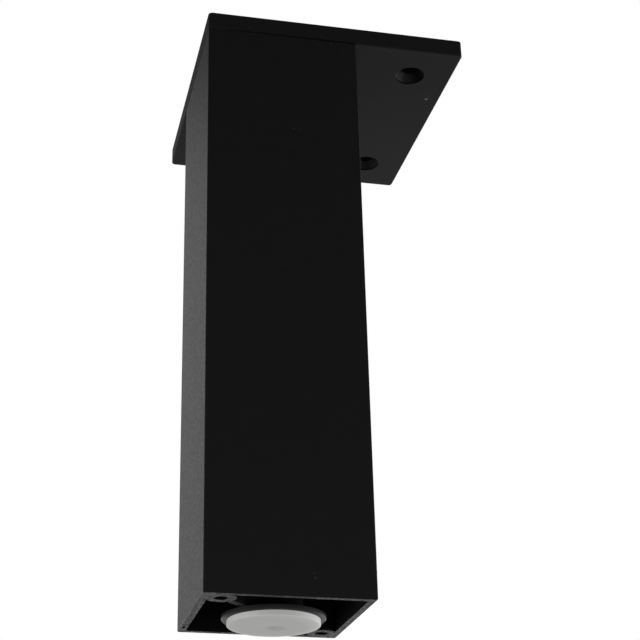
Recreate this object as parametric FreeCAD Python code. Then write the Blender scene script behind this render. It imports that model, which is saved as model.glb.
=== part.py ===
"""Square aluminium furniture leg with an offset mounting plate and a screw-in levelling foot.

Millimetres. The origin is on the foot's axis at floor level, and +Z points up to the
furniture. The tube stands flush under the plate's near left corner, so the plate reaches
out to +X and +Y. The foot is modelled screwed fully in, with its disc against the tube.
"""
import FreeCAD
import Part
import math
import os

# Tube, sawn from one extruded bar
tube_width = 40.0
tube_length = 151.5
tube_wall = 1.8
tube_outer_corner = 0.4
tube_inner_corner = 0.8
tube_edge = 0.2
rib_width = 1.8

# Screw ports that run along two opposite corners of the bar
port_inset = 4.8
port_bore = 3.2
port_wall = 2.0

# Middle port that takes the foot
stud_port_wall = 3.0
stud_port_chamfer = 0.5

# Plate that is screwed to the furniture
plate_width = 70.0
plate_depth = 70.0
plate_thickness = 5.0
plate_corner = 1.0
plate_edge = 0.25

# Furniture screw holes, countersunk from below
hole_inset = 11.5
hole_bore = 4.4
hole_head = 8.0
hole_lip = 0.5

# Self-tapping screws that hold the plate on the tube
screw_thread = 3.9
screw_head = 7.6
screw_head_land = 0.3
screw_length = 18.0
screw_tip = 1.6
recess_length = 4.2
recess_width = 0.9
recess_depth = 1.7
recess_taper = 0.7

# Levelling foot: threaded stud, riveted in a disc
thread_size = 8.0
thread_pitch = 1.25
stud_length = 25.0
stud_chamfer = 1.0
disc_size = 24.8
disc_thickness = 1.0
disc_edge = 0.35
rivet_shank = 6.0
rivet_head = 9.2
rivet_thickness = 0.6

# Glide pad, clipped under the disc by a pin with a snap bead
pad_size = 22.2
pad_thickness = 1.7
pad_round_width = 3.5
pad_round_height = 0.6
dimple_size = 7.0
dimple_flat = 3.0
dimple_depth = 0.15
pin_size = 3.0
pin_length = 5.0
bead_rise = 0.2
bead_width = 0.6
bead_lift = 3.0

# Clearances: radial in a running fit, between faces that seat, and past an end
running = 0.05
seat = 0.05
end_gap = 0.3

# Places worked out from the sizes above
half_tube = tube_width / 2
half_cavity = half_tube - tube_wall
tube_bottom = pad_thickness + disc_thickness
tube_top = tube_bottom + tube_length
plate_top = tube_top + plate_thickness
port_offset = half_tube - port_inset
tapping_bore = thread_size - thread_pitch
thread_bore = thread_size + 2 * running
pin_bore = pin_size + 2 * running
rivet_room = rivet_thickness + seat
pin_foot = pad_thickness - rivet_room
pin_top = pin_foot + pin_length
bead_size = pin_size + 2 * bead_rise
bead_height = pin_foot + bead_lift

UP = FreeCAD.Vector(0, 0, 1)
AXIS = FreeCAD.Vector(0, 0, 0)


def point(x, y, z=0.0):
    return FreeCAD.Vector(x, y, z)


def cylinder(diameter, height, x, y, z):
    return Part.makeCylinder(diameter / 2, height, point(x, y, z), UP)


def cone(low_diameter, high_diameter, x, y, z):
    """A 90 degree cone, as tall as half the difference of its diameters."""
    height = abs(high_diameter - low_diameter) / 2
    return Part.makeCone(low_diameter / 2, high_diameter / 2, height, point(x, y, z), UP)


def round_face(diameter, x, y):
    circle = Part.Circle(point(x, y), UP, diameter / 2)
    return Part.Face(Part.Wire(circle.toShape()))


def rectangle_face(x0, y0, x1, y1):
    corners = [point(x0, y0), point(x1, y0), point(x1, y1), point(x0, y1), point(x0, y0)]
    return Part.Face(Part.makePolygon(corners))


def square_face(half_width, corner):
    """A square about the axis, with rounded corners."""
    flat = half_width - corner
    bulge = flat + corner * math.sqrt(0.5)
    edges = []
    for quarter in range(4):
        side = Part.LineSegment(point(-flat, -half_width), point(flat, -half_width)).toShape()
        bend = Part.Arc(point(flat, -half_width), point(bulge, -bulge),
                        point(half_width, -flat)).toShape()
        for edge in (side, bend):
            edge.rotate(AXIS, UP, 90 * quarter)
            edges.append(edge)
    return Part.Face(Part.Wire(edges))


def turned(profile):
    """A solid turned about the Z axis from a closed list of edges in the XZ plane."""
    return Part.Face(Part.Wire(profile)).revolve(AXIS, UP, 360)


def line(start, end):
    """A profile line between two (radius, height) places."""
    return Part.LineSegment(point(start[0], 0, start[1]), point(end[0], 0, end[1])).toShape()


def lines(places):
    return [line(start, end) for start, end in zip(places, places[1:])]


def lower_round(radius, width, height):
    """A quarter of an ellipse from the side of a disc of this radius in to its underside."""
    side = point(radius, 0, height)
    underside = point(radius - width, 0, 0)
    ellipse = Part.Ellipse(side, underside, point(radius - width, 0, height))
    return Part.ArcOfEllipse(ellipse, 0, math.pi / 2).toShape()


def port_places():
    """The two corner ports, with the names of the corners."""
    return {"near_left": (-port_offset, -port_offset), "far_right": (port_offset, port_offset)}


def hole_places():
    """The furniture screw holes at the plate's three free corners."""
    near_left = -half_tube + hole_inset
    right = -half_tube + plate_width - hole_inset
    far = -half_tube + plate_depth - hole_inset
    return [(right, near_left), (right, far), (near_left, far)]


def on_outline(place):
    """True for a place on the tube's outside, also at its rounded corners."""
    return max(abs(place.x), abs(place.y)) > half_tube - tube_wall / 2


def make_tube():
    """The bar's shell, ribs and ports, each drawn flat and run the whole length of the tube."""
    rib_reach = port_offset * math.sqrt(2)
    ribs = rectangle_face(-rib_reach, -rib_width / 2, rib_reach, rib_width / 2)
    ribs.rotate(AXIS, UP, 45)
    metal = [ribs, round_face(thread_size + 2 * stud_port_wall, 0, 0)]
    bores = [round_face(tapping_bore, 0, 0)]
    for x, y in port_places().values():
        wall = math.copysign(half_cavity, x)
        low, high = min(x, wall), max(x, wall)
        metal.append(rectangle_face(low, low, high, high))
        metal.append(round_face(port_bore + 2 * port_wall, x, y))
        bores.append(round_face(port_bore, x, y))
    shell = square_face(half_tube, tube_outer_corner).cut(
        square_face(half_cavity, tube_inner_corner))
    length = UP * tube_length
    bar = shell.Faces[0].extrude(length)
    bar = bar.fuse([face.extrude(length) for face in metal]).removeSplitter()
    bar = bar.cut([face.extrude(length) for face in bores])
    bar.translate(UP * tube_bottom)
    rims = [e for e in bar.Edges if on_outline(e.CenterOfMass) and e.BoundBox.ZLength < tube_edge]
    bar = bar.makeChamfer(tube_edge, rims)
    thread = cylinder(thread_bore, stud_length + end_gap, 0, 0, tube_bottom)
    lead_in = cone(thread_bore + 2 * stud_port_chamfer, thread_bore, 0, 0, tube_bottom)
    return bar.cut([thread, lead_in])


def furniture_hole(x, y):
    """Cutter for a screw hole with its sunk head on the underside of the plate."""
    lip = cylinder(hole_head, hole_lip, x, y, tube_top)
    sink = cone(hole_head, hole_bore, x, y, tube_top + hole_lip)
    return lip.fuse([sink, cylinder(hole_bore, plate_thickness, x, y, tube_top)])


def plate_screw_hole(x, y):
    """Cutter for the hole of a plate screw, sunk from the top by the head's own size."""
    bore = screw_thread + 2 * seat
    mouth = screw_head + 2 * seat
    land = cylinder(mouth, screw_head_land, x, y, plate_top - screw_head_land)
    sink = cone(bore, mouth, x, y, plate_top - screw_head_land - (mouth - bore) / 2)
    return land.fuse([sink, cylinder(bore, plate_thickness, x, y, tube_top)])


def make_plate():
    corner = point(-half_tube, -half_tube, tube_top)
    plate = Part.makeBox(plate_width, plate_depth, plate_thickness, corner)
    upright = [e for e in plate.Edges if e.BoundBox.ZLength > plate_thickness / 2]
    plate = plate.makeFillet(plate_corner, upright)
    rims = [e for e in plate.Edges if e.BoundBox.ZLength < plate_thickness / 2]
    plate = plate.makeChamfer(plate_edge, rims)
    for x, y in hole_places():
        plate = plate.cut(furniture_hole(x, y))
    for x, y in port_places().values():
        plate = plate.cut(plate_screw_hole(x, y))
    return plate


def recess_wing(top):
    """One slot of the cross recess, narrower at its floor."""
    def outline(z, scale):
        x = recess_length / 2 * scale
        y = recess_width / 2 * scale
        places = [point(-x, -y, z), point(x, -y, z), point(x, y, z), point(-x, y, z)]
        return Part.makePolygon(places + places[:1])
    return Part.makeLoft([outline(top, 1), outline(top - recess_depth, recess_taper)], True)


def make_plate_screw(x, y):
    """Countersunk self-tapping screw: its thread root runs in the port, thread not cut."""
    top = plate_top - seat
    neck_end = tube_top
    head_base = top - screw_head_land - (screw_head - screw_thread) / 2
    end = top - screw_length
    core = port_bore / 2 - running
    profile = lines([(0, top), (screw_head / 2, top), (screw_head / 2, top - screw_head_land),
                     (screw_thread / 2, head_base), (screw_thread / 2, neck_end),
                     (core, neck_end), (core, end + screw_tip), (0, end), (0, top)])
    screw = turned(profile)
    wing = recess_wing(top)
    screw = screw.cut(wing)
    wing.rotate(AXIS, UP, 90)
    screw = screw.cut(wing)
    screw.translate(point(x, y))
    return screw


def make_stud():
    """Threaded stud whose foot is riveted through the disc and bored for the pad's pin."""
    radius = thread_size / 2
    shank = rivet_shank / 2
    head = rivet_head / 2
    top = tube_bottom + stud_length
    rivet_top = pad_thickness
    rivet_bottom = rivet_top - rivet_thickness
    bore = pin_bore / 2
    bore_end = pin_top + end_gap
    groove = bead_size / 2 + running
    groove_low = bead_height - bead_width / 2 - seat
    groove_high = bead_height + bead_width / 2 + seat
    profile = lines([(0, top), (radius - stud_chamfer, top), (radius, top - stud_chamfer),
                     (radius, tube_bottom), (shank, tube_bottom), (shank, rivet_top),
                     (head, rivet_top), (head, rivet_bottom), (bore, rivet_bottom),
                     (bore, groove_low), (groove, groove_low), (groove, groove_high),
                     (bore, groove_high), (bore, bore_end), (0, bore_end), (0, top)])
    return turned(profile)


def make_disc():
    """Flat disc with a broken lower edge, on the end of the stud."""
    radius = disc_size / 2
    hole = rivet_shank / 2
    low = pad_thickness
    profile = lines([(hole, tube_bottom), (hole, low), (radius - disc_edge, low),
                     (radius, low + disc_edge), (radius, tube_bottom), (hole, tube_bottom)])
    return turned(profile)


def make_pad():
    """Glide pad: rounded below, with a shallow dimple, and hollowed above round its snap pin."""
    radius = pad_size / 2
    pin = pin_size / 2
    bead = bead_size / 2
    hollow = rivet_head / 2 + seat
    low = bead_height - bead_width / 2
    high = bead_height + bead_width / 2
    flat = radius - pad_round_width
    profile = lines([(0, dimple_depth), (dimple_flat / 2, dimple_depth), (dimple_size / 2, 0),
                     (flat, 0)])
    profile += [lower_round(radius, pad_round_width, pad_round_height)]
    profile += lines([(radius, pad_round_height), (radius, pad_thickness), (hollow, pad_thickness),
                      (hollow, pin_foot), (pin, pin_foot), (pin, low), (bead, low + bead_rise),
                      (bead, high - bead_rise), (pin, high), (pin, pin_top - bead_rise),
                      (pin - bead_rise, pin_top), (0, pin_top), (0, dimple_depth)])
    return turned(profile)


def make_parts():
    parts = {"leg_tube": make_tube(), "top_plate": make_plate()}
    for corner, place in port_places().items():
        parts["plate_screw_" + corner] = make_plate_screw(*place)
    parts["foot_stud"] = make_stud()
    parts["foot_disc"] = make_disc()
    parts["glide_pad"] = make_pad()
    return parts


os.makedirs("parts", exist_ok=True)
for name, shape in make_parts().items():
    shape.exportStep("parts/" + name + ".step")
    box = shape.BoundBox
    print(name, shape.isValid(), len(shape.Solids), "volume", round(shape.Volume, 1),
          "z", round(box.ZMin, 2), round(box.ZMax, 2))
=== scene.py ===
"""Looks of a square black furniture leg with an offset plate and a screw-in levelling foot.

Metres, in the leg's own frame: the origin is under the foot, on its axis, and +Z points up to
the furniture. The tube, plate, plate screws, disc and glide pad are the frame's own pieces and
get their finish here. The foot's stud is made again, with its thread.
"""
import bmesh
import bpy
import math
from mathutils import Euler, Matrix, Vector, noise


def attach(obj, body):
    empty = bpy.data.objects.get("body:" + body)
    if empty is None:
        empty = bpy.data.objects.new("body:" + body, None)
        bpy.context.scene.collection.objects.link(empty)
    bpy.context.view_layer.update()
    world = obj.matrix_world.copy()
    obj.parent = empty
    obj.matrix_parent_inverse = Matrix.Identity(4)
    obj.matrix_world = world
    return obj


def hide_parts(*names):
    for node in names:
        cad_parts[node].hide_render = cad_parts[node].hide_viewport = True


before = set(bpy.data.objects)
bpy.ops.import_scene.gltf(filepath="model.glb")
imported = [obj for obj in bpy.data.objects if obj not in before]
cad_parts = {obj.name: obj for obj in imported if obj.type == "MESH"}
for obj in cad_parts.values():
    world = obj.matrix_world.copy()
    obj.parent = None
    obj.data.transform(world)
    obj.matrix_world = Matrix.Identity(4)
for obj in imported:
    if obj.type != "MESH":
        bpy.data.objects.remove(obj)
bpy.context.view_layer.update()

MM = 0.001

# Camera: its place, and its angles in degrees, are worked out from the photo's straight edges
CAMERA_PLACE = Vector((-68.2, -322.7, -75.7)) * MM
CAMERA_YAW = 10.94
CAMERA_PITCH = 23.96
CAMERA_ROLL = 0.19
CAMERA_LENS = 79.68
CAMERA_SHIFT = (0.112, 0.05)
CAMERA_NEAREST = 10 * MM

# Faces of the tube and the plate: heights, and distances from the axis or the plate's middle
TUBE_END = 2.7 * MM
TUBE_TOP = 154.2 * MM
TUBE_SIDE = 20.0 * MM
WALL_MIDDLE = 19.0 * MM
BROKEN_EDGE = 0.2 * MM
PLATE_TOP = 159.2 * MM
PLATE_SIDE = 35.0 * MM
PLATE_MIDDLE = Vector((15.0, 15.0, 0.0)) * MM
FACE_SKIN = 0.05 * MM

# Holes, in millimetres
PLATE_HOLES = [(38.5, -8.5), (38.5, 38.5), (-8.5, 38.5)]
BORE_RADIUS = 2.25
SCREW_PLACES = {"near_left": (-15.2, -15.2), "far_right": (15.2, 15.2)}

# Painted shadow of a seam under the plate: where it starts, and half its height there and at the far
# corner
SEAM_SHADOW_START = -14.5 * MM
SEAM_SHADOW_HEIGHTS = (0.17 * MM, 0.35 * MM)

# Colours: linear
WHITE = (1.0, 1.0, 1.0)
COAT_BLACK = (0.0031, 0.0031, 0.0032)
DISC_BLACK = (0.0095, 0.0095, 0.0096)
PAD_GREY = (0.332, 0.332, 0.327)
STEEL_ZINC = (0.55, 0.55, 0.53)
FLOOR_PALE = (0.88, 0.88, 0.88)
CEILING_DARK = (0.01, 0.01, 0.01)
DUST = (0.02, 0.02, 0.02)
BRIGHT_DUST = (0.08, 0.08, 0.08)
SPECK_BLACK = (0.001, 0.001, 0.001)

# Powder coat: grain size and height, and how strongly the grain changes tone and roughness
GRAIN_SIZE = 0.6 * MM
GRAIN_HEIGHT = 0.02 * MM
GRAIN_TONE = 0.4
GRAIN_DULLNESS = 0.4
CLOUDS_PER_METRE = 250.0
COAT_ROUGHNESS = 0.5
COAT_GLOSS = 0.05

# Painted shade in the hollows: share of the coat's tone left there, added roughness, and depth at which
# the painted shade is full
PAINTED_SHADE_TONE = 0.12
HOLLOW_DULLNESS = 0.35
HOLLOW_EDGE = 0.3 * MM

# Sawn end, its broken edges, and sheared sides: added roughness, and a stronger grain on the end
SAWN_GRAIN = 2.0
SAWN_DULLNESS = -0.05
EDGE_DULLNESS = -0.15
SHEARED_DULLNESS = 0.15

# Painted shade and light on the pad: two radii in millimetres and the tones there, darker for painted
# shade in its dimple and lighter for a painted highlight at its rim
PAD_PAINTED_SHADING = [(0.0, 3.5, 0.72, 1.0), (7.0, 11.0, 1.0, 1.14)]

# Round pieces: fine rings of a width and height, and how much they change the tone
BLOTCHES_PER_METRE = 700.0
DISC_LACQUER = {"colour": DISC_BLACK, "roughness": 0.4, "gloss": 0.06, "metallic": 0.0,
                "ring_width": 0.15 * MM, "ring_height": 0.002 * MM, "tone": 0.15}
PAD_PLASTIC = {"colour": PAD_GREY, "roughness": 0.5, "gloss": 0.15, "metallic": 0.0,
               "ring_width": 0.3 * MM, "ring_height": 0.004 * MM, "tone": 0.05}
SCREW_STEEL = {"colour": STEEL_ZINC, "roughness": 0.35, "gloss": 0.5, "metallic": 1.0,
               "ring_width": 0.12 * MM, "ring_height": 0.003 * MM, "tone": 0.2}
STUD_STEEL = {"colour": STEEL_ZINC, "roughness": 0.3, "gloss": 0.5, "metallic": 1.0,
              "ring_width": 0.1 * MM, "ring_height": 0.002 * MM, "tone": 0.2}

# Dust dots on the coat: place and radius in millimetres, and their colour
SPOT_EDGE = 0.1 * MM
TUBE_MARKS = [
    ((2.5, -20, 125.3), 0.25, DUST),
    ((4.2, -20, 125.3), 0.2, DUST),
    ((5.3, -20, 8.1), 0.2, DUST),
    ((5.5, -20, 7.0), 0.25, DUST),
    ((13.1, -20, 153.3), 0.25, DUST),
]
PLATE_MARKS = [((46.4, 1.6, 154.2), 0.5, BRIGHT_DUST)]

# Dark speck: place, half its size each way, and how uneven it is
SPECK_PLACE = Vector((-19.1, 14.5, 2.7)) * MM
SPECK_SIZE = Vector((0.4, 0.7, 0.15)) * MM
SPECK_WOBBLE = 0.35
SPECK_LUMPS = 1.7
CLUMPS_PER_METRE = 4000.0

# Studio: the floor lies just under the pad, and the dark ceiling shows only in reflections
SOFT_LIGHT = 0.4
FLOOR_DROP = 0.1 * MM
FLOOR_RADIUS = 0.8
FLOOR_FADE = (0.25, 0.75)
CEILING_HEIGHT = 0.92
CEILING_RADIUS = 1.15

# Lamps: name, place, width, height, level
LEG_MIDDLE = Vector((10, 0, 70)) * MM
LAMPS = [
    ("back_panel", (0.05, 0.8, 0.18), 1.0, 0.82, 0.2),
    ("left_side", (-0.82, -0.14, -0.12), 0.4, 0.4, 0.75),
    ("right_side", (0.78, -0.21, -0.15), 0.4, 0.4, 0.9),
    ("right_back", (0.75, 0.4, -0.12), 0.4, 0.4, 0.5),
    ("front_low", (-0.1, -0.8, -0.2), 0.4, 0.4, 0.3),
    ("top", (0.2, 0.5, 0.85), 0.6, 0.6, 0.45),
]

# Thread of the stud: metric, M8 coarse, with the flats of its crest and root as shares of a pitch
STUD_SIZES = {"Thread Size": 8.0 * MM, "Pitch": 1.25 * MM, "Depth": 0.767 * MM,
              "End Size": 6.0 * MM, "Low End": 2.7 * MM, "High End": 27.7 * MM}
CREST_FLAT = 0.125
ROOT_FLAT = 0.25
ROWS_A_TURN = 4
SPARE_ROWS = 9

# Ends of the stud, as (radius, height) in millimetres: a rivet foot bored for the pad's pin, and a top
STUD_FOOT = [(3.0, 2.7), (3.0, 1.7), (4.6, 1.7), (4.6, 1.1), (1.55, 1.1), (1.55, 3.7),
             (1.75, 3.7), (1.75, 4.4), (1.55, 4.4), (1.55, 6.35), (0.0, 6.35)]
STUD_END = [(0.0, 27.7), (3.0, 27.7)]

SEGMENTS = 64
SAME_PLACE = 1e-6
SHARP_ANGLE = math.radians(25)


def rgba(colour):
    return (*colour, 1.0)


class Nodes:
    """Short ways to add and link nodes in a tree."""

    def __init__(self, tree):
        self.tree = tree

    def add(self, kind, values=None, **settings):
        node = self.tree.nodes.new(kind)
        for key, value in settings.items():
            setattr(node, key, value)
        for socket, value in (values or {}).items():
            self.give(node.inputs[socket], value)
        return node

    def give(self, socket, value):
        """Links a socket to another, or sets its value."""
        if isinstance(value, bpy.types.NodeSocket):
            self.tree.links.new(value, socket)
        else:
            socket.default_value = value

    def math(self, operation, a, b=0.0, clamp=False):
        return self.add("ShaderNodeMath", {0: a, 1: b}, operation=operation, use_clamp=clamp).outputs[0]

    def vector(self, operation, a, b):
        return self.add("ShaderNodeVectorMath", {0: a, 1: b}, operation=operation).outputs["Vector"]

    def length(self, vector):
        return self.add("ShaderNodeVectorMath", {0: vector}, operation="LENGTH").outputs["Value"]

    def scaled(self, colour, amount):
        return self.add("ShaderNodeVectorMath", {0: colour, "Scale": amount},
                        operation="SCALE").outputs["Vector"]

    def axes(self, place):
        return self.add("ShaderNodeSeparateXYZ", {0: place}).outputs

    def reach(self, axes):
        """Distance from the Z axis to the square about it that a place lies on."""
        return self.math("MAXIMUM", self.math("ABSOLUTE", axes["X"]), self.math("ABSOLUTE", axes["Y"]))

    def noise(self, place, scale, detail=2.0, roughness=0.5):
        return self.add("ShaderNodeTexNoise", {"Vector": place, "Scale": scale, "Detail": detail,
                                               "Roughness": roughness}).outputs["Fac"]

    def ramp(self, value, low, high, low_result=0.0, high_result=1.0, kind="LINEAR"):
        return self.add("ShaderNodeMapRange", {
            "Value": value, "From Min": low, "From Max": high, "To Min": low_result,
            "To Max": high_result}, interpolation_type=kind).outputs["Result"]

    def blended(self, mask, colour, other):
        mix = self.add("ShaderNodeMix", data_type="RGBA")
        inputs = {socket.identifier: socket for socket in mix.inputs}
        self.give(inputs["Factor_Float"], mask)
        self.give(inputs["A_Color"], colour)
        self.give(inputs["B_Color"], other)
        return next(socket for socket in mix.outputs if socket.identifier == "Result_Color")

    def bump(self, height, distance):
        return self.add("ShaderNodeBump", {"Height": height, "Distance": distance,
                                           "Strength": 1.0}).outputs["Normal"]

    def group(self, tree, values):
        return self.add("ShaderNodeGroup", values, node_tree=tree).outputs

    def object_place(self):
        return self.add("ShaderNodeTexCoord").outputs["Object"]

    def surface(self, shader):
        self.add("ShaderNodeOutputMaterial", {"Surface": shader.outputs[0]})


def new_material(name):
    material = bpy.data.materials.new(name)
    material.use_nodes = True
    material.node_tree.nodes.clear()
    return material, Nodes(material.node_tree)


def shader_group(name, inputs, outputs):
    """An empty shader group with named sockets. Returns it, its nodes and its two ends' sockets."""
    tree = bpy.data.node_groups.new(name, "ShaderNodeTree")
    for label, kind, value in inputs:
        socket = tree.interface.new_socket(name=label, in_out="INPUT", socket_type=kind)
        if value is not None:
            socket.default_value = value
    for label in outputs:
        tree.interface.new_socket(name=label, in_out="OUTPUT", socket_type="NodeSocketFloat")
    nodes = Nodes(tree)
    start = nodes.add("NodeGroupInput").outputs
    end = nodes.add("NodeGroupOutput").inputs
    return tree, nodes, start, end


def make_coat_grain():
    """The fine pebbled skin of a baked powder coat: its height, and small changes of tone."""
    tree, nodes, start, end = shader_group(
        "coat_grain",
        [("Place", "NodeSocketVector", None), ("Grain Size", "NodeSocketFloat", MM),
         ("Tone Change", "NodeSocketFloat", 0.5)],
        ["Height", "Tone", "Dullness"])
    per_metre = nodes.math("DIVIDE", 1.0, start["Grain Size"])
    pebbles = nodes.noise(start["Place"], per_metre, detail=3.0, roughness=0.6)
    clouds = nodes.noise(start["Place"], CLOUDS_PER_METRE)
    fine = nodes.math("SUBTRACT", pebbles, 0.5)
    wide = nodes.math("SUBTRACT", clouds, 0.5)
    change = nodes.math("MULTIPLY", nodes.math("ADD", fine, wide), start["Tone Change"])
    nodes.give(end["Height"], pebbles)
    nodes.give(end["Tone"], nodes.math("ADD", change, 1.0))
    nodes.give(end["Dullness"], fine)
    return tree


def make_round_mask():
    """White inside a ball about a centre, or inside a bore where Along is (1, 1, 0)."""
    tree, nodes, start, end = shader_group(
        "round_mask",
        [("Place", "NodeSocketVector", None), ("Centre", "NodeSocketVector", None),
         ("Along", "NodeSocketVector", (1.0, 1.0, 1.0)), ("Radius", "NodeSocketFloat", MM),
         ("Soft Edge", "NodeSocketFloat", 0.1 * MM)],
        ["Mask"])
    away = nodes.vector("SUBTRACT", start["Place"], start["Centre"])
    away = nodes.length(nodes.vector("MULTIPLY", away, start["Along"]))
    room = nodes.math("SUBTRACT", start["Radius"], away)
    nodes.give(end["Mask"], nodes.math("DIVIDE", room, start["Soft Edge"], clamp=True))
    return tree


def make_turned_grain():
    """Fine rings about an axis, as turning, stamping or a turned mould leaves them."""
    tree, nodes, start, end = shader_group(
        "turned_grain",
        [("Place", "NodeSocketVector", None), ("Axis", "NodeSocketVector", None),
         ("Ring Width", "NodeSocketFloat", MM), ("Tone Change", "NodeSocketFloat", 0.1)],
        ["Height", "Tone", "Radius"])
    away = nodes.vector("SUBTRACT", start["Place"], start["Axis"])
    radius = nodes.length(nodes.vector("MULTIPLY", away, (1.0, 1.0, 0.0)))
    per_metre = nodes.math("DIVIDE", 1.0, start["Ring Width"])
    section = nodes.add("ShaderNodeCombineXYZ", {"X": radius, "Z": nodes.axes(away)["Z"]})
    rings = nodes.noise(section.outputs[0], per_metre)
    blotches = nodes.noise(away, BLOTCHES_PER_METRE, detail=3.0)
    both = nodes.math("SUBTRACT", nodes.math("ADD", rings, blotches), 1.0)
    change = nodes.math("MULTIPLY", both, start["Tone Change"])
    nodes.give(end["Height"], rings)
    nodes.give(end["Tone"], nodes.math("ADD", change, 1.0))
    nodes.give(end["Radius"], radius)
    return tree


def round_spot(nodes, place, centre, radius, along=(1.0, 1.0, 1.0)):
    """Mask of one round place, given in millimetres."""
    centre = tuple(value * MM for value in centre)
    return nodes.group(round_mask, {"Place": place, "Centre": centre, "Along": along,
                                    "Radius": radius * MM, "Soft Edge": SPOT_EDGE})["Mask"]


def seam_shadow_height(nodes, across):
    """Half the height of the painted seam shadow under the plate: none at the near left corner, taller
    away from it.
    """
    height = nodes.ramp(across, SEAM_SHADOW_START, TUBE_SIDE, *SEAM_SHADOW_HEIGHTS)
    return nodes.math("MULTIPLY", height, nodes.math("GREATER_THAN", across, SEAM_SHADOW_START))


def tube_painted_shade(nodes, place):
    """White where shade is painted: on the walls of the bar's hollows and bores, and in the painted seam
    shadow under the plate.
    """
    axes = nodes.axes(place)
    # Painted shade on the walls inside the tube, full a little above the sawn end
    within = nodes.math("LESS_THAN", nodes.reach(axes), WALL_MIDDLE)
    above = nodes.math("SUBTRACT", axes["Z"], TUBE_END)
    above = nodes.math("DIVIDE", above, HOLLOW_EDGE, clamp=True)
    height = seam_shadow_height(nodes, nodes.math("MAXIMUM", axes["X"], axes["Y"]))
    # Painted shadow along the top of the tube, under the plate
    seam_shadow = nodes.math("GREATER_THAN", axes["Z"], nodes.math("SUBTRACT", TUBE_TOP, height))
    return nodes.math("MAXIMUM", nodes.math("MULTIPLY", within, above), seam_shadow)


def plate_painted_shade(nodes, place):
    """White where shade is painted: on the bores of the furniture screws, and in the painted seam shadow
    over the tube.
    """
    # Painted shade in the bores of the furniture screws, kept off the plate's top face
    holes = 0.0
    for x, y in PLATE_HOLES:
        hole = round_spot(nodes, place, (x, y, 0), BORE_RADIUS, (1.0, 1.0, 0.0))
        holes = nodes.math("MAXIMUM", hole, holes)
    axes = nodes.axes(place)
    holes = nodes.math("MULTIPLY", holes, nodes.math("LESS_THAN", axes["Z"], PLATE_TOP - FACE_SKIN))
    across = nodes.math("MAXIMUM", axes["X"], axes["Y"])
    # Painted shadow along the bottom of the plate, over the tube
    seam_shadow_top = nodes.math("ADD", seam_shadow_height(nodes, across), TUBE_TOP)
    seam_shadow = nodes.math("MULTIPLY", nodes.math("LESS_THAN", across, TUBE_SIDE),
                      nodes.math("LESS_THAN", axes["Z"], seam_shadow_top))
    return nodes.math("MAXIMUM", holes, seam_shadow)


def sawn_end(nodes, place):
    """White on the tube's sawn lower end."""
    return nodes.math("LESS_THAN", nodes.axes(place)["Z"], TUBE_END + FACE_SKIN)


def smoother_end(nodes, place):
    """Added roughness on the tube: less on its sawn end, and least on the end's broken edges."""
    end = sawn_end(nodes, place)
    edge = nodes.math("LESS_THAN", nodes.axes(place)["Z"], TUBE_END + BROKEN_EDGE + FACE_SKIN)
    edge = nodes.math("SUBTRACT", edge, end)
    return nodes.math("ADD", nodes.math("MULTIPLY", end, SAWN_DULLNESS),
                      nodes.math("MULTIPLY", edge, EDGE_DULLNESS))


def rougher_sides(nodes, place):
    """Added roughness on the plate's four sheared sides."""
    axes = nodes.axes(nodes.vector("SUBTRACT", place, PLATE_MIDDLE))
    sides = nodes.math("GREATER_THAN", nodes.reach(axes), PLATE_SIDE - FACE_SKIN)
    return nodes.math("MULTIPLY", sides, SHEARED_DULLNESS)


def powder_coat(name, shade_mask, marks, rougher, sawn=None):
    """Black powder coat: grain, painted shade with added roughness in hollows, bores and the seam, dust
    dots, and a stronger grain on a sawn end.
    """
    material, nodes = new_material(name)
    place = nodes.object_place()
    skin = nodes.group(coat_grain, {"Place": place, "Grain Size": GRAIN_SIZE,
                                    "Tone Change": GRAIN_TONE})
    painted_shade = shade_mask(nodes, place)
    colour = nodes.scaled(COAT_BLACK, skin["Tone"])
    # Painted shade: the coat's tone is cut down where the shade mask is white
    colour = nodes.blended(painted_shade, colour, rgba([value * PAINTED_SHADE_TONE for value in COAT_BLACK]))
    for centre, radius, dust in marks:
        colour = nodes.blended(round_spot(nodes, place, centre, radius), colour, rgba(dust))
    dull = nodes.math("MULTIPLY", skin["Dullness"], GRAIN_DULLNESS)
    if sawn:
        stronger = nodes.math("ADD", nodes.math("MULTIPLY", sawn(nodes, place), SAWN_GRAIN), 1.0)
        dull = nodes.math("MULTIPLY", dull, stronger)
    dull = nodes.math("ADD", dull, rougher(nodes, place))
    dull = nodes.math("ADD", dull, COAT_ROUGHNESS)
    dull = nodes.math("ADD", dull, nodes.math("MULTIPLY", painted_shade, HOLLOW_DULLNESS))
    nodes.surface(nodes.add("ShaderNodeBsdfPrincipled", {
        "Base Color": colour, "Roughness": dull, "Specular IOR Level": COAT_GLOSS,
        "Normal": nodes.bump(skin["Height"], GRAIN_HEIGHT)}))
    return material


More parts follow.
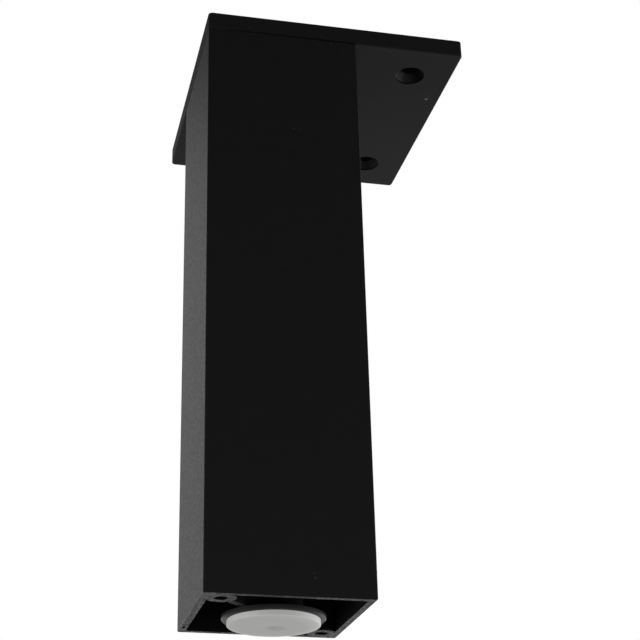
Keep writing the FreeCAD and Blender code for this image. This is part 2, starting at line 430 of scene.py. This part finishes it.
def turned_finish(name, finish, axis=(0, 0), fade=()):
    """A turned, stamped or moulded round piece. Fade gives its tone from the axis to the rim, which on
    the pad is painted shade in the dimple and a painted highlight at the rim.
    """
    material, nodes = new_material(name)
    grain = nodes.group(turned_grain, {
        "Place": nodes.object_place(), "Axis": (axis[0] * MM, axis[1] * MM, 0.0),
        "Ring Width": finish["ring_width"], "Tone Change": finish["tone"]})
    colour = nodes.scaled(finish["colour"], grain["Tone"])
    # Painted shade and light: the tone is scaled between two radii
    for low, high, low_tone, high_tone in fade:
        step = nodes.ramp(grain["Radius"], low * MM, high * MM, low_tone, high_tone, "SMOOTHSTEP")
        colour = nodes.scaled(colour, step)
    change = nodes.math("SUBTRACT", grain["Tone"], 1.0)
    nodes.surface(nodes.add("ShaderNodeBsdfPrincipled", {
        "Base Color": colour, "Roughness": nodes.math("ADD", change, finish["roughness"]),
        "Specular IOR Level": finish["gloss"], "Metallic": finish["metallic"],
        "Normal": nodes.bump(grain["Height"], finish["ring_height"])}))
    return material


def dark_speck_finish(name):
    """Dull, nearly black and clumped."""
    material, nodes = new_material(name)
    clumps = nodes.noise(nodes.object_place(), CLUMPS_PER_METRE)
    nodes.surface(nodes.add("ShaderNodeBsdfPrincipled", {
        "Base Color": nodes.scaled(SPECK_BLACK, nodes.math("ADD", clumps, 0.5)), "Roughness": 1.0,
        "Specular IOR Level": 0.0}))
    return material


def finish_node(name, material):
    """Gives one of the frame's own pieces its material."""
    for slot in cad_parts[name].material_slots:
        slot.material = material


def placed(name, data):
    """A new object in the scene that holds this mesh, lamp or camera."""
    thing = bpy.data.objects.new(name, data)
    bpy.context.scene.collection.objects.link(thing)
    return thing


def mesh_of(name, shape):
    """Turns an edited shape into a mesh, and frees it."""
    mesh = bpy.data.meshes.new(name)
    shape.to_mesh(mesh)
    shape.free()
    return mesh


def make_thread_tree():
    """Geometry nodes: adds a closed right-hand thread between the two ends of the stud.

    A sheet is wrapped round the axis. Its rows follow the helix, four to a turn, at the two
    edges of the crest and of the root. Rows past the ends are held at the ends, where they merge.
    """
    tree = bpy.data.node_groups.new("stud_thread", "GeometryNodeTree")
    tree.interface.new_socket(name="Geometry", in_out="INPUT", socket_type="NodeSocketGeometry")
    tree.interface.new_socket(name="Geometry", in_out="OUTPUT", socket_type="NodeSocketGeometry")
    for label in STUD_SIZES:
        tree.interface.new_socket(name=label, in_out="INPUT", socket_type="NodeSocketFloat")
    tree.interface.new_socket(name="Steel", in_out="INPUT", socket_type="NodeSocketMaterial")
    nodes = Nodes(tree)
    start = nodes.add("NodeGroupInput").outputs

    length = nodes.math("SUBTRACT", start["High End"], start["Low End"])
    turns = nodes.math("CEIL", nodes.math("DIVIDE", length, start["Pitch"]))
    rows = nodes.math("ADD", nodes.math("MULTIPLY", turns, ROWS_A_TURN), SPARE_ROWS)
    sheet = nodes.add("GeometryNodeMeshGrid", {
        "Size X": 1.0, "Size Y": 1.0, "Vertices X": SEGMENTS + 1, "Vertices Y": rows})
    place = nodes.axes(nodes.add("GeometryNodeInputPosition").outputs[0])
    share = nodes.math("ADD", place["X"], 0.5)
    along = nodes.math("ADD", place["Y"], 0.5)

    # The row's turn, and its step in that turn: 0 and 1 on the crest, 2 and 3 on the root
    row = nodes.math("ROUND", nodes.math("MULTIPLY", along, nodes.math("SUBTRACT", rows, 1.0)))
    turn = nodes.math("FLOOR", nodes.math("DIVIDE", nodes.math("ADD", row, 0.1), ROWS_A_TURN))
    step = nodes.math("SUBTRACT", row, nodes.math("MULTIPLY", turn, ROWS_A_TURN))
    on_root = nodes.math("GREATER_THAN", step, 1.5)
    on_crest = nodes.math("SUBTRACT", 1.0, on_root)
    second = nodes.math("SUBTRACT", step, nodes.math("MULTIPLY", on_root, 2.0))

    # The row's height along the helix, in pitches and then in metres, held between the ends
    crest_edge = nodes.math("SUBTRACT", nodes.math("MULTIPLY", second, CREST_FLAT), CREST_FLAT / 2)
    root_edge = nodes.math("ADD", nodes.math("MULTIPLY", second, ROOT_FLAT), 0.5 - ROOT_FLAT / 2)
    edge = nodes.math("ADD", nodes.math("MULTIPLY", on_crest, crest_edge),
                      nodes.math("MULTIPLY", on_root, root_edge))
    pitches = nodes.math("ADD", nodes.math("ADD", turn, edge), nodes.math("SUBTRACT", share, 1.0))
    height = nodes.math("ADD", start["Low End"], nodes.math("MULTIPLY", pitches, start["Pitch"]))
    height = nodes.math("MINIMUM", nodes.math("MAXIMUM", height, start["Low End"]), start["High End"])

    # The row's radius, cut off by a cone at each end
    radius = nodes.math("SUBTRACT", nodes.math("MULTIPLY", start["Thread Size"], 0.5),
                        nodes.math("MULTIPLY", on_root, start["Depth"]))
    from_end = nodes.math("MINIMUM", nodes.math("SUBTRACT", height, start["Low End"]),
                          nodes.math("SUBTRACT", start["High End"], height))
    cone = nodes.math("ADD", nodes.math("MULTIPLY", start["End Size"], 0.5), from_end)
    radius = nodes.math("MINIMUM", radius, cone)

    angle = nodes.math("MULTIPLY", share, math.tau)
    wrapped = nodes.add("ShaderNodeCombineXYZ", {
        "X": nodes.math("MULTIPLY", radius, nodes.math("COSINE", angle)),
        "Y": nodes.math("MULTIPLY", radius, nodes.math("SINE", angle)), "Z": height})
    thread = nodes.add("GeometryNodeSetPosition", {"Geometry": sheet.outputs["Mesh"],
                                                   "Position": wrapped.outputs[0]})
    whole = nodes.add("GeometryNodeJoinGeometry", {0: start["Geometry"]})
    nodes.give(whole.inputs[0], thread.outputs[0])
    closed = nodes.add("GeometryNodeMergeByDistance", {"Geometry": whole.outputs[0],
                                                       "Distance": SAME_PLACE})
    real = nodes.add("GeometryNodeRealizeInstances", {0: closed.outputs[0]})
    steel = nodes.add("GeometryNodeSetMaterial", {"Geometry": real.outputs[0],
                                                  "Material": start["Steel"]})
    nodes.add("NodeGroupOutput", {0: steel.outputs[0]})
    return tree


def add_turned(shape, profile):
    """Turns a profile of (radius, height) in millimetres about the foot's axis."""
    verts = [shape.verts.new((radius * MM, 0, height * MM)) for radius, height in profile]
    edges = [shape.edges.new(pair) for pair in zip(verts, verts[1:])]
    bmesh.ops.spin(shape, geom=verts + edges, cent=(0, 0, 0), axis=(0, 0, 1), angle=math.tau,
                   steps=SEGMENTS, use_duplicate=False)
    bmesh.ops.remove_doubles(shape, verts=shape.verts, dist=SAME_PLACE)


def settle_order(shape):
    """Sorts corners and faces by place, since turning leaves them in another order each run."""
    corners = sorted(shape.verts, key=lambda vert: tuple(vert.co))
    faces = sorted(shape.faces, key=lambda face: tuple(face.calc_center_median()))
    for parts, ordered in ((shape.verts, corners), (shape.faces, faces)):
        rank = {part: number for number, part in enumerate(ordered)}
        parts.sort(key=lambda part: rank[part])


def make_stud(material):
    """The foot's stud with its thread. It stands for the frame's plain stud."""
    shape = bmesh.new()
    add_turned(shape, STUD_FOOT)
    add_turned(shape, STUD_END)
    settle_order(shape)
    ends = placed("stud_ends", mesh_of("stud_ends", shape))
    tree = make_thread_tree()
    maker = ends.modifiers.new("thread", "NODES")
    maker.node_group = tree
    sizes = dict(STUD_SIZES, Steel=material)
    for socket in tree.interface.items_tree:
        if socket.in_out == "INPUT" and socket.name in sizes:
            maker[socket.identifier] = sizes[socket.name]
    bpy.context.view_layer.update()
    finished = bpy.data.meshes.new_from_object(ends.evaluated_get(bpy.context.evaluated_depsgraph_get()))
    finished.name = "threaded_stud"
    finished.materials.clear()
    finished.materials.append(material)
    bpy.data.objects.remove(ends)
    shape = bmesh.new()
    shape.from_mesh(finished)
    bmesh.ops.recalc_face_normals(shape, faces=shape.faces)
    shape.to_mesh(finished)
    shape.free()
    finished.shade_smooth()
    finished.set_sharp_from_angle(angle=SHARP_ANGLE)
    stud = placed("threaded_stud", finished)
    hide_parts("foot_stud")
    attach(stud, "foot")


def make_speck(material):
    """Small flat dark speck on the far end of the left wall, under the tube."""
    shape = bmesh.new()
    bmesh.ops.create_icosphere(shape, subdivisions=3, radius=1.0)
    for vert in shape.verts:
        wobble = 1.0 + SPECK_WOBBLE * noise.noise(vert.co * SPECK_LUMPS)
        vert.co = vert.co * SPECK_SIZE * wobble + SPECK_PLACE
    mesh = mesh_of("dark_speck", shape)
    mesh.shade_smooth()
    mesh.materials.append(material)
    speck = placed("dark_speck", mesh)
    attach(speck, "leg")


def place_camera():
    data = bpy.data.cameras.new("camera")
    data.lens = CAMERA_LENS
    data.shift_x, data.shift_y = CAMERA_SHIFT
    data.clip_start = CAMERA_NEAREST
    camera = placed("camera", data)
    camera.location = CAMERA_PLACE
    camera.rotation_euler = Euler((math.radians(90 + CAMERA_PITCH), 0, math.radians(-CAMERA_YAW)))
    camera.rotation_euler.rotate_axis("Z", math.radians(-CAMERA_ROLL))
    bpy.context.scene.camera = camera


def light_surroundings():
    """White to the eye and in reflections, and a soft grey light from all round on the rest."""
    world = bpy.data.worlds.new("studio")
    bpy.context.scene.world = world
    world.use_nodes = True
    world.node_tree.nodes.clear()
    nodes = Nodes(world.node_tree)
    path = nodes.add("ShaderNodeLightPath").outputs
    seen = nodes.math("ADD", path["Is Camera Ray"], path["Is Glossy Ray"])
    seen = nodes.math("ADD", seen, path["Is Transmission Ray"], clamp=True)
    soft = nodes.add("ShaderNodeBackground", {"Color": rgba(WHITE), "Strength": SOFT_LIGHT})
    white = nodes.add("ShaderNodeBackground", {"Color": rgba(WHITE), "Strength": 1.0})
    mixed = nodes.add("ShaderNodeMixShader", {0: seen, 1: soft.outputs[0], 2: white.outputs[0]})
    nodes.add("ShaderNodeOutputWorld", {"Surface": mixed.outputs[0]})


def studio_disc(name, radius, height, material):
    """A level disc about the foot's axis that faces up, hidden from diffuse and shadow rays."""
    shape = bmesh.new()
    bmesh.ops.create_circle(shape, cap_ends=True, segments=SEGMENTS, radius=radius,
                            matrix=Matrix.Translation((0, 0, height)))
    mesh = mesh_of(name, shape)
    mesh.materials.append(material)
    disc = placed(name, mesh)
    disc.visible_diffuse = False
    disc.visible_shadow = False
    return disc


def make_floor():
    """Pale floor with the leg's shadow, seen from above only, that fades out into the white."""
    material, nodes = new_material("pale_floor")
    away = nodes.length(nodes.object_place())
    fade = nodes.ramp(away, *FLOOR_FADE, kind="SMOOTHSTEP")
    below = nodes.add("ShaderNodeNewGeometry").outputs["Backfacing"]
    clear = nodes.math("MAXIMUM", fade, below)
    paint = nodes.add("ShaderNodeBsdfDiffuse", {"Color": rgba(FLOOR_PALE)})
    gone = nodes.add("ShaderNodeBsdfTransparent")
    nodes.surface(nodes.add("ShaderNodeMixShader", {0: clear, 1: paint.outputs[0], 2: gone.outputs[0]}))
    floor = studio_disc("floor", FLOOR_RADIUS, -FLOOR_DROP, material)
    floor.visible_glossy = False


def make_ceiling():
    """Dark ceiling of the studio: it dims what the leg's faces reflect from high up."""
    material, nodes = new_material("dark_ceiling")
    nodes.surface(nodes.add("ShaderNodeBsdfDiffuse", {"Color": rgba(CEILING_DARK)}))
    ceiling = studio_disc("ceiling", CEILING_RADIUS, CEILING_HEIGHT, material)
    ceiling.visible_camera = False


def soft_lamp(name, place, width, height, level):
    """An area lamp that faces the leg. Level is how light a white sheet there would look."""
    place = Vector(place)
    towards = LEG_MIDDLE - place
    data = bpy.data.lights.new(name, "AREA")
    data.shape = "RECTANGLE"
    data.size = width
    data.size_y = height
    data.energy = level * math.pi ** 2 * towards.length_squared
    lamp = placed(name, data)
    lamp.location = place
    lamp.rotation_euler = towards.to_track_quat("-Z", "Y").to_euler()
    lamp.visible_camera = False


coat_grain = make_coat_grain()
round_mask = make_round_mask()
turned_grain = make_turned_grain()

finish_node("leg_tube", powder_coat("tube_coat", tube_painted_shade, TUBE_MARKS, smoother_end, sawn_end))
finish_node("top_plate", powder_coat("plate_coat", plate_painted_shade, PLATE_MARKS, rougher_sides))
finish_node("foot_disc", turned_finish("disc_lacquer", DISC_LACQUER))
finish_node("glide_pad", turned_finish("pad_plastic", PAD_PLASTIC, fade=PAD_PAINTED_SHADING))
for corner, axis in SCREW_PLACES.items():
    finish_node("plate_screw_" + corner, turned_finish("screw_steel_" + corner, SCREW_STEEL, axis))
make_stud(turned_finish("stud_zinc", STUD_STEEL))
make_speck(dark_speck_finish("dull_black_speck"))

make_floor()
make_ceiling()
light_surroundings()
for lamp in LAMPS:
    soft_lamp(*lamp)
place_camera()
bpy.context.scene.view_settings.view_transform = "Standard"
